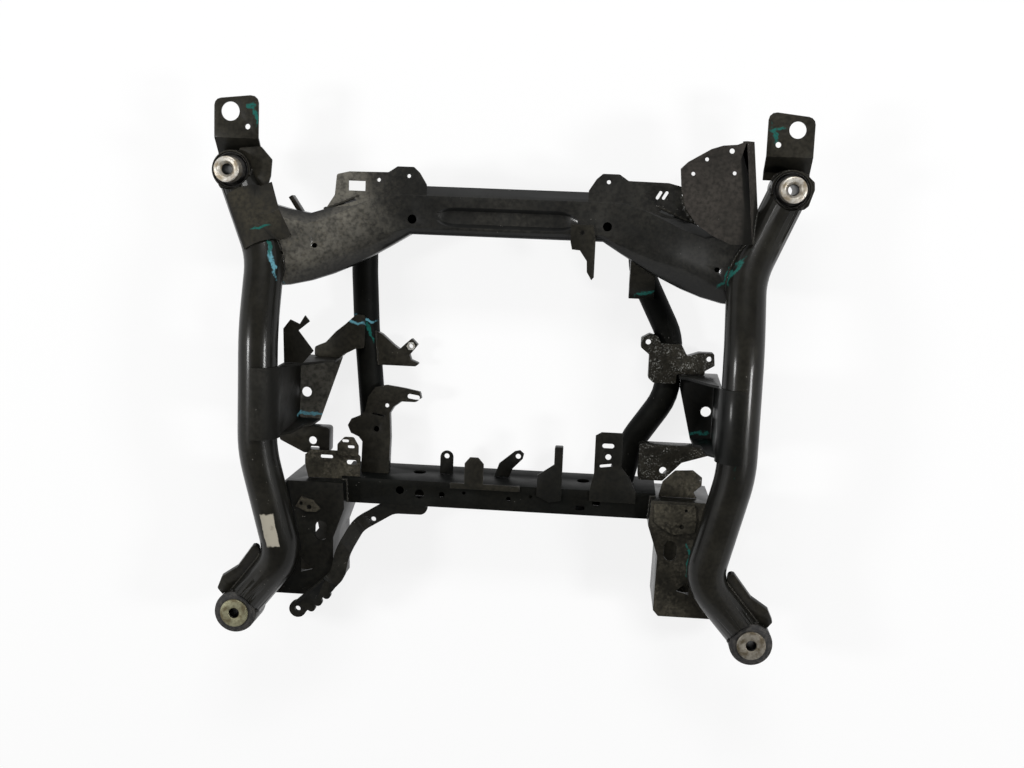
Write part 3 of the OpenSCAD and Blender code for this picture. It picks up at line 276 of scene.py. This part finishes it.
def steel_finish(name, bright, tarnish, rough, centre, bore=0.0):
    """Bare or plated steel, turned in rings about its own axis and stained, with painted shade turning its
    bore near black.
    """
    finish = bpy.data.materials.new(name)
    finish.use_nodes = True
    tree = finish.node_tree
    add = tree.nodes.new
    join = tree.links.new
    shader = tree.nodes["Principled BSDF"]
    shader.inputs["Metallic"].default_value = 0.85
    axis = add("ShaderNodeMapping")
    axis.vector_type = "TEXTURE"
    axis.inputs["Location"].default_value = centre
    join(add("ShaderNodeTexCoord").outputs["Object"], axis.inputs["Vector"])
    spots = add("ShaderNodeTexNoise")
    spots.inputs["Scale"].default_value = 110.0
    spots.inputs["Detail"].default_value = 6.0
    join(axis.outputs[0], spots.inputs["Vector"])
    ramp = add("ShaderNodeValToRGB")
    ramp.color_ramp.elements[0].position = 0.36
    ramp.color_ramp.elements[0].color = (*tarnish, 1.0)
    ramp.color_ramp.elements[1].position = 0.60
    ramp.color_ramp.elements[1].color = (*bright, 1.0)
    join(spots.outputs["Fac"], ramp.inputs["Fac"])
    flat = add("ShaderNodeVectorMath")
    flat.operation = "MULTIPLY"
    flat.inputs[1].default_value = (1.0, 1.0, 0.0)
    join(axis.outputs[0], flat.inputs[0])
    radius = add("ShaderNodeVectorMath")
    radius.operation = "LENGTH"
    join(flat.outputs[0], radius.inputs[0])
    # Painted shade: within the bore radius the base colour turns near black, standing in for the shade
    # down the bore.
    depth = add("ShaderNodeMapRange")
    depth.inputs["From Min"].default_value = bore + 0.0001
    depth.inputs["From Max"].default_value = bore + 0.0009
    join(radius.outputs["Value"], depth.inputs["Value"])
    painted_bore_shade = add("ShaderNodeMix")
    painted_bore_shade.data_type = "RGBA"
    painted_bore_shade.inputs[6].default_value = (0.006, 0.006, 0.005, 1.0)
    join(depth.outputs["Result"], painted_bore_shade.inputs[0])
    join(ramp.outputs["Color"], painted_bore_shade.inputs[7])
    join(painted_bore_shade.outputs[2], shader.inputs["Base Color"])
    dull = add("ShaderNodeMapRange")
    dull.inputs["To Min"].default_value = rough + 0.28
    dull.inputs["To Max"].default_value = rough
    join(spots.outputs["Fac"], dull.inputs["Value"])
    join(dull.outputs["Result"], shader.inputs["Roughness"])
    rings = add("ShaderNodeTexWave")
    rings.wave_type = "RINGS"
    rings.rings_direction = "Z"
    rings.inputs["Scale"].default_value = 420.0
    rings.inputs["Distortion"].default_value = 1.5
    join(axis.outputs[0], rings.inputs["Vector"])
    bump = add("ShaderNodeBump")
    bump.inputs["Strength"].default_value = 0.18
    bump.inputs["Distance"].default_value = 0.0004
    join(rings.outputs["Fac"], bump.inputs["Height"])
    join(bump.outputs["Normal"], shader.inputs["Normal"])
    return finish


ZINC = (0.62, 0.61, 0.57)
ZINC_DULL = (0.30, 0.28, 0.24)
ZINC_ROUGH = 0.34
ear_nut_steel = steel_finish("ear_nut_steel", ZINC, ZINC_DULL, ZINC_ROUGH, (0.0, 0.0, 0.0))
dress("ear_weld_nuts", ear_nut_steel, edge=0.0006)


# Lower crossmember: a drafted channel pressed from sheet, punched with location holes and closed
# by a flat floor. It hangs low in the frame and stays nearly black.
lower_cross_paint = paint_finish("lower_cross_paint", cover=0.06, rough=0.38, marks=[
    ("stroke", (-0.2255, -0.154, 0.108), (0.036, 0.0032, 0.03), 2.0, TEAL),
    ("stroke", (0.216, -0.156, 0.108), (0.018, 0.0030, 0.03), 2.0, TEAL),
], paint=DEEP_BLACK, coat=0.0, gloss=0.05)
dress("lower_crossmember", lower_cross_paint, edge=0.0018)
dress("lower_crossmember_floor", frame_paint, edge=0.0008)


# Inner tubes: two thinner tubes bent round the drivetrain, welded under the upper crossmember
# and butted to the lower one. Their paint is dull and nearly black.
tube_paint = paint_finish("tube_paint", cover=0.05, rough=0.38, marks=[
    ("stroke", (-0.250, 0.086, 0.045), (0.022, 0.0032, 0.06), -15.0, SKY),
    ("stroke", (-0.240, 0.064, 0.045), (0.0028, 0.020, 0.06), 20.0, TEAL),
    ("stroke", (0.290, 0.045, 0.05), (0.016, 0.0026, 0.06), 0.0, TEAL),
], paint=DEEP_BLACK, coat=0.0, gloss=0.05)
dress("left_inner_tube", tube_paint, smooth=TUBE_SMOOTH)
dress("right_inner_tube", tube_paint, smooth=TUBE_SMOOTH)


# Engine mount cups: thick pressings that wrap the rails' inner sides and drop to a flat seat,
# with a pressed arm to the inner tube above and a shelf below. Road dirt has baked on the left
# seat, and the right arm and shelf are scraped and flaking.
SEAT_DUST = (0.115, 0.110, 0.094)
seat_paint = paint_finish("seat_paint", cover=1.0, rough=0.42, marks=[
    ("stroke", (-0.346, -0.090, 0.03), (0.040, 0.0032, 0.03), -3.0, SKY),
    ("stroke", (-0.378, -0.050, 0.03), (0.0018, 0.045, 0.03), 0.0, TEAL),
], dust=SEAT_DUST, flakes=0.2, fading=("Z", 0.05, 0.13, 0.14), coat=0.0)
cup_paint = paint_finish("cup_paint", cover=0.10, rough=0.26, marks=[
    ("stroke", (0.341, -0.090, 0.06), (0.020, 0.0032, 0.09), 8.0, TEAL),
], paint=DEEP_BLACK)
scraped_paint = paint_finish("scraped_paint", cover=0.30, rough=0.26, crust=0.8)
arm_strut_paint = paint_finish("arm_strut_paint", cover=0.34, rough=0.24, marks=[
    ("stroke", (-0.262, 0.080, 0.08), (0.020, 0.0032, 0.09), -15.0, SKY),
])
dress("left_mount_cup", seat_paint, edge=0.0012)
dress("right_mount_cup", cup_paint, edge=0.0012)
dress("left_cup_arm", arm_strut_paint, edge=0.0015)
dress("right_cup_arm", scraped_paint, edge=0.0015)
dress("left_shelf", frame_paint, edge=0.0018)
dress("right_shelf", scraped_paint, edge=0.0018)
dress("hook_plate", frame_paint, edge=0.0007)


# Control arm brackets: deep pressed trays under the rails' waists, their outer edges turned up to
# the tube. Small dusty plates are welded on and around them, and a bent flat stay passes the left
# one to a free end.
bracket_paint = paint_finish("bracket_paint", cover=0.55, rough=0.24, marks=[
    ("stroke", (0.329, -0.288, 0.135), (0.0025, 0.028, 0.03), 4.0, TEAL),
], flakes=0.25, coat=0.15)
# Painted shade: the left bracket and the small tabs on the lower crossmember take a darker, barely dusted
# copy of the black paint for the shade they lie in.
painted_shade_paint = paint_finish("painted_shade_paint", cover=0.14, rough=0.30, paint=DEEP_BLACK)
dress("left_arm_bracket", painted_shade_paint, edge=0.0018)
dress("right_arm_bracket", bracket_paint, edge=0.0018)
for side in ("left", "right"):
    dress(side + "_arm_bracket_floor", frame_paint, edge=0.0006)
PLATE_DUST = (0.070, 0.063, 0.046)
plate_paint = paint_finish("plate_paint", cover=1.0, rough=0.36, dust=PLATE_DUST, flakes=0.5, coat=0.05)
for node in ("left_end_plate", "left_slot_tab", "left_corner_tab", "right_end_plate", "right_top_plate"):
    dress(node, plate_paint, edge=0.0007)
stay_paint = paint_finish("stay_paint", cover=0.16, rough=0.30, paint=DEEP_BLACK, coat=0.05)
dress("stay_arm", stay_paint)


# Mounting bushes: a steel can at each corner with a rubber body bonded in and a turned sleeve
# through its middle. The upper sleeves stand proud, and the lower ones are faced by a washer.
def rubber_finish(name):
    """Moulded rubber, greyed by dust in its pores."""
    finish = bpy.data.materials.new(name)
    finish.use_nodes = True
    tree = finish.node_tree
    add = tree.nodes.new
    join = tree.links.new
    shader = tree.nodes["Principled BSDF"]
    pores = add("ShaderNodeTexNoise")
    pores.inputs["Scale"].default_value = 160.0
    pores.inputs["Detail"].default_value = 7.0
    join(add("ShaderNodeTexCoord").outputs["Object"], pores.inputs["Vector"])
    ramp = add("ShaderNodeValToRGB")
    ramp.color_ramp.elements[0].position = 0.40
    ramp.color_ramp.elements[0].color = (0.008, 0.008, 0.008, 1.0)
    ramp.color_ramp.elements[1].position = 0.72
    ramp.color_ramp.elements[1].color = (0.045, 0.041, 0.036, 1.0)
    join(pores.outputs["Fac"], ramp.inputs["Fac"])
    join(ramp.outputs["Color"], shader.inputs["Base Color"])
    shader.inputs["Roughness"].default_value = 0.72
    bump = add("ShaderNodeBump")
    bump.inputs["Strength"].default_value = 0.3
    bump.inputs["Distance"].default_value = 0.0008
    join(pores.outputs["Fac"], bump.inputs["Height"])
    join(bump.outputs["Normal"], shader.inputs["Normal"])
    return finish


SLEEVE_BORE = 0.0085
SLEEVE_ROUGH = 0.30
WASHER_ROUGH = 0.42
PALE_STEEL = (0.66, 0.63, 0.57)
STAINED_STEEL = (0.30, 0.25, 0.18)
OLIVE_PLATE = (0.30, 0.29, 0.19)
OLIVE_STAIN = (0.14, 0.12, 0.07)
GREY_PLATE = (0.27, 0.25, 0.21)
GREY_STAIN = (0.11, 0.09, 0.06)
WASHERS = {
    "left": (OLIVE_PLATE, OLIVE_STAIN, "olive_plating"),
    "right": (GREY_PLATE, GREY_STAIN, "dull_steel"),
}
bush_rubber = rubber_finish("bush_rubber")
for level in ("upper", "lower"):
    for side in ("left", "right"):
        bush = level + "_" + side
        low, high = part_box(bush + "_sleeve")
        centre = tuple((a + b) / 2 for a, b in zip(low, high))
        dress(bush + "_can", frame_paint, edge=0.0006)
        dress(bush + "_rubber", bush_rubber, edge=0.0012)
        sleeve_steel = steel_finish(bush + "_steel", PALE_STEEL, STAINED_STEEL, SLEEVE_ROUGH,
                                    centre, SLEEVE_BORE)
        dress(bush + "_sleeve", sleeve_steel, edge=0.0005)
        if level == "lower":
            plate, stain, slot = WASHERS[side]
            washer_steel = steel_finish(side + "_washer_steel", plate, stain, WASHER_ROUGH,
                                        centre, SLEEVE_BORE)
            dress(bush + "_washer", washer_steel, edge=0.0004)


# End tabs, collars and crossmember brackets: folded from flat blanks with their holes punched
# first, then welded to the cans, the arms and the beam. The fan plate is dusty all over.
tab_paint = paint_finish("tab_paint", cover=0.35, rough=0.26, marks=[
    ("stroke", (-0.424, 0.436, 0.14), (0.012, 0.0045, 0.06), 20.0, TEAL),
    ("stroke", (-0.418, 0.422, 0.14), (0.0040, 0.018, 0.06), 10.0, TEAL),
    ("stroke", (0.424, 0.416, 0.14), (0.0045, 0.016, 0.06), 15.0, TEAL),
    ("stroke", (0.430, 0.428, 0.14), (0.012, 0.0035, 0.06), 0.0, TEAL),
    ("stroke", (-0.445, 0.358, 0.115), (0.016, 0.0040, 0.03), 0.0, TEAL),
])
for side in ("left", "right"):
    dress(side + "_end_tab", tab_paint, edge=0.0012)
    dress(side + "_collar", frame_paint, edge=0.0008)
cover_paint = paint_finish("cover_paint", cover=0.60, rough=0.42, marks=[
    ("stroke", (-0.393, 0.240, 0.185), (0.014, 0.0024, 0.06), 20.0, TEAL),
], coat=0.0)
dress("left_horn_cover", cover_paint, edge=0.0008, smooth=60.0)
FAN_DUST = (0.046, 0.041, 0.036)
fan_paint = paint_finish("fan_paint", cover=1.0, rough=0.46, dust=FAN_DUST, coat=0.0)
dress("fan_plate", fan_paint, edge=0.0008)
leg_paint = paint_finish("leg_paint", cover=0.20, rough=0.24, marks=[
    ("stroke", (0.236, 0.152, 0.09), (0.016, 0.0040, 0.09), 10.0, TEAL),
])
dress("leg_bracket", leg_paint, edge=0.0010)
for node in ("hook_bracket", "fin_tab"):
    dress(node, frame_paint, edge=0.0008)


# Tube brackets: two pressed trays that saddle the left inner tube, one with a plated weld nut on
# its tip and one slotted for a hanger.
for node in ("branch_bracket", "slotted_bracket"):
    dress(node, frame_paint, edge=0.0010)
low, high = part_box("branch_weld_nut")
nut_centre = tuple((a + b) / 2 for a, b in zip(low, high))
branch_nut_steel = steel_finish("branch_nut_steel", ZINC, ZINC_DULL, ZINC_ROUGH, nut_centre)
dress("branch_weld_nut", branch_nut_steel, edge=0.0006)


# Lower crossmember tabs: small blanked plates for pipe clips, welded along its upper wall and on
# its face.
# Painted shade: these tabs take the darker copy of the black paint.
for node in ("round_tab", "slanted_tab", "post_bracket", "flange_plate"):
    dress(node, painted_shade_paint, edge=0.0007)
dress("wide_tab", frame_paint, edge=0.0007)


# Weld beads: the frame is joined by robot welds that were painted over with the rest. Each bead
# follows the edge of a piece along the piece that carries it, and swells and narrows in ripples.
WELD = 0.005
SMALL_WELD = 0.004
EAR_SEAM = 0.0055
FAN_SEAM = 0.0130
RIPPLE = 0.0028
HALVINGS = 5
SEAT_REACH = 0.0009
SHARP_ANGLE = math.radians(20.0)
LEAST_FACING = 0.3
UP = Vector((0.0, 0.0, 1.0))


def swell(bead, width):
    """Gives a line the round, rippled body of a weld and puts worn paint on it."""
    bead.data.bevel_depth = width / 2
    bead.data.bevel_resolution = 1
    bead.data.use_fill_caps = True
    for spline in bead.data.splines:
        for index, point in enumerate(spline.points):
            point.radius = 1.0 + 0.22 * math.sin(1.9 * index) + 0.10 * math.sin(0.37 * index)
    bpy.ops.object.convert(target="MESH")
    bead = bpy.context.view_layer.objects.active
    bpy.ops.object.shade_smooth()
    bead.data.materials.clear()
    bead.data.materials.append(worn_edge)
    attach(bead, "root")


def lay_bead(node, carrier, width, facing):
    """Runs a bead along those edges of a node that lie on its carrier and look a given way."""
    bead = welded_copy(node, node + "_weld_on_" + carrier)
    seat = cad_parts[carrier].data
    tree = BVHTree.FromPolygons([v.co for v in seat.vertices], [list(p.vertices) for p in seat.polygons])
    bpy.ops.object.mode_set(mode="EDIT")
    bpy.ops.mesh.select_mode(type="EDGE")
    bpy.ops.mesh.select_all(action="DESELECT")
    shape = bmesh.from_edit_mesh(bead.data)
    found = 0
    for edge in shape.edges:
        if len(edge.link_faces) != 2 or edge.calc_face_angle() < SHARP_ANGLE:
            continue
        if max(face.normal.dot(facing) for face in edge.link_faces) < LEAST_FACING:
            continue
        if all((tree.find_nearest(v.co, SEAT_REACH)[0] is not None) for v in edge.verts):
            edge.select = True
            found += 1
    bmesh.update_edit_mesh(bead.data)
    if not found:
        bpy.ops.object.mode_set(mode="OBJECT")
        bpy.ops.object.delete()
        return
    bpy.ops.mesh.select_all(action="INVERT")
    bpy.ops.mesh.delete(type="EDGE")
    bpy.ops.mesh.select_all(action="DESELECT")
    bpy.ops.mesh.delete_loose(use_verts=True, use_edges=False, use_faces=False)
    for cut in range(HALVINGS):
        bpy.ops.mesh.select_all(action="DESELECT")
        shape = bmesh.from_edit_mesh(bead.data)
        for edge in shape.edges:
            edge.select = edge.calc_length() > RIPPLE
        bmesh.update_edit_mesh(bead.data)
        bpy.ops.mesh.subdivide(number_cuts=1)
    bpy.ops.object.mode_set(mode="OBJECT")
    bpy.ops.object.convert(target="CURVE")
    bead = bpy.context.view_layer.objects.active
    swell(bead, width)


def run_bead(name, points, width):
    """Runs a bead along a line of points, for a seam where two sheets of one pressing meet."""
    line = bpy.data.curves.new(name, "CURVE")
    line.dimensions = "3D"
    spline = line.splines.new("POLY")
    stops = []
    for start, end in zip(points, points[1:]):
        steps = int((Vector(end) - Vector(start)).length / RIPPLE)
        stops += [Vector(start).lerp(Vector(end), k / steps) for k in range(steps)]
    stops.append(Vector(points[-1]))
    spline.points.add(len(stops) - 1)
    for point, stop in zip(spline.points, stops):
        point.co = (*stop, 1.0)
    bead = bpy.data.objects.new(name, line)
    bpy.context.collection.objects.link(bead)
    bpy.ops.object.select_all(action="DESELECT")
    bead.select_set(True)
    bpy.context.view_layer.objects.active = bead
    swell(bead, width)


for side in ("left", "right"):
    inward = Vector((-1.0 if side == "right" else 1.0, 0.0, 0.2))
    lay_bead("upper_crossmember", side + "_rail", WELD, UP)
    lay_bead(side + "_mount_cup", side + "_rail", WELD, UP)
    lay_bead(side + "_arm_bracket", side + "_rail", WELD, inward)
    lay_bead(side + "_rail", "upper_" + side + "_can", WELD, UP)
    lay_bead(side + "_rail", "lower_" + side + "_can", WELD, UP)
    lay_bead(side + "_rail_gusset", side + "_rail", SMALL_WELD, UP)
    lay_bead(side + "_end_tab", "upper_" + side + "_can", SMALL_WELD, UP)
    lay_bead("lower_crossmember", side + "_arm_bracket", WELD, UP)
    lay_bead(side + "_inner_tube", "lower_crossmember", SMALL_WELD, UP)
    lay_bead(side + "_cup_arm", side + "_inner_tube", SMALL_WELD, UP)
    lay_bead(side + "_shelf", side + "_mount_cup", SMALL_WELD, UP)
lay_bead("fan_plate", "right_rail", SMALL_WELD, UP)
lay_bead("leg_bracket", "right_inner_tube", SMALL_WELD, UP)
lay_bead("slotted_bracket", "left_inner_tube", SMALL_WELD, UP)
lay_bead("branch_bracket", "left_inner_tube", SMALL_WELD, UP)
lay_bead("left_horn_cover", "left_rail", SMALL_WELD, UP)
lay_bead("left_horn_cover", "upper_crossmember", SMALL_WELD, UP)
run_bead("left_ear_seam", [
    (-0.3040, 0.2718, 0.1275),
    (-0.2757, 0.2839, 0.1275),
    (-0.2460, 0.2966, 0.1275),
], EAR_SEAM)
run_bead("right_ear_seam", [
    (0.2460, 0.2979, 0.1275),
    (0.2762, 0.2850, 0.1275),
    (0.3110, 0.2698, 0.1275),
], EAR_SEAM)
run_bead("fan_seam", [
    (0.2856, 0.3160, 0.127),
    (0.2902, 0.2995, 0.127),
    (0.2945, 0.2895, 0.127),
    (0.3010, 0.2800, 0.127),
    (0.3120, 0.2700, 0.127),
], FAN_SEAM)


# Stage: a pale floor inside a round backdrop of the same card, lit by a broad lamp beyond the upper
# bushes and a small one at each side, and seen from above as the photograph was taken.
FLOOR_SIZE = 14.0
BACKDROP_RADIUS = 6.9
BACKDROP_HEIGHT = 3.4


def card_finish(name):
    """Grey card under the lamps that is nearly white to the camera and in reflections."""
    finish = bpy.data.materials.new(name)
    finish.use_nodes = True
    tree = finish.node_tree
    tree.nodes.clear()
    add = tree.nodes.new
    join = tree.links.new
    rays = add("ShaderNodeLightPath").outputs
    seen = rays["Is Camera Ray"]
    for kind in ("Is Glossy Ray", "Is Transmission Ray"):
        either = add("ShaderNodeMath")
        either.operation = "MAXIMUM"
        join(seen, either.inputs[0])
        join(rays[kind], either.inputs[1])
        seen = either.outputs[0]
    card = add("ShaderNodeBsdfDiffuse")
    card.inputs["Color"].default_value = (0.15, 0.15, 0.15, 1.0)
    glow = add("ShaderNodeEmission")
    glow.inputs["Color"].default_value = (1.0, 1.0, 1.0, 1.0)
    glow.inputs["Strength"].default_value = 0.83
    bright_card = add("ShaderNodeAddShader")
    join(card.outputs[0], bright_card.inputs[0])
    join(glow.outputs[0], bright_card.inputs[1])
    choice = add("ShaderNodeMixShader")
    join(seen, choice.inputs[0])
    join(card.outputs[0], choice.inputs[1])
    join(bright_card.outputs[0], choice.inputs[2])
    join(choice.outputs[0], add("ShaderNodeOutputMaterial").inputs["Surface"])
    return finish


bpy.ops.object.select_all(action="DESELECT")
bpy.ops.mesh.primitive_plane_add(size=FLOOR_SIZE, location=(0.0, 0.0, 0.0))
floor = bpy.context.active_object
floor.name = "floor"
bpy.ops.mesh.primitive_cylinder_add(vertices=96, radius=BACKDROP_RADIUS, depth=BACKDROP_HEIGHT,
                                    end_fill_type="NOTHING", location=(0.0, 0.0, BACKDROP_HEIGHT / 2))
backdrop = bpy.context.active_object
backdrop.name = "backdrop"
bpy.ops.object.shade_smooth()
floor_finish = card_finish("floor_finish")
for sweep in (floor, backdrop):
    sweep.data.materials.append(floor_finish)

world = bpy.data.worlds.new("studio")
bpy.context.scene.world = world
world.use_nodes = True
sky = world.node_tree.nodes["Background"]
sky.inputs["Color"].default_value = (1.0, 1.0, 1.0, 1.0)
sky.inputs["Strength"].default_value = 0.15


def soft_light(name, place, width, length, power):
    """A square-edged studio lamp that looks at the middle of the floor."""
    lamp = bpy.data.lights.new(name, "AREA")
    lamp.shape = "RECTANGLE"
    lamp.size = width
    lamp.size_y = length
    lamp.energy = power
    stand = bpy.data.objects.new(name, lamp)
    bpy.context.collection.objects.link(stand)
    stand.location = place
    aim = -Vector(place)
    stand.rotation_euler = aim.to_track_quat("-Z", "Y").to_euler()


soft_light("key_light", (0.1, 2.8, 2.2), width=1.8, length=0.6, power=70.0)
soft_light("left_lamp", (-2.2, -0.05, 2.1), width=0.4, length=0.5, power=40.0)
soft_light("right_lamp", (2.2, -0.20, 2.1), width=0.4, length=0.5, power=40.0)

camera_data = bpy.data.cameras.new("photo_camera")
camera_data.sensor_fit = "HORIZONTAL"
camera_data.sensor_width = 36.0
camera_data.lens = 41.84
camera = bpy.data.objects.new("photo_camera", camera_data)
bpy.context.collection.objects.link(camera)
camera.location = (0.1597, 0.2730, 2.0957)
camera.rotation_euler = tuple(math.radians(a) for a in (-7.866, 4.371, 2.234))
bpy.context.scene.camera = camera
bpy.context.scene.view_settings.view_transform = "Standard"
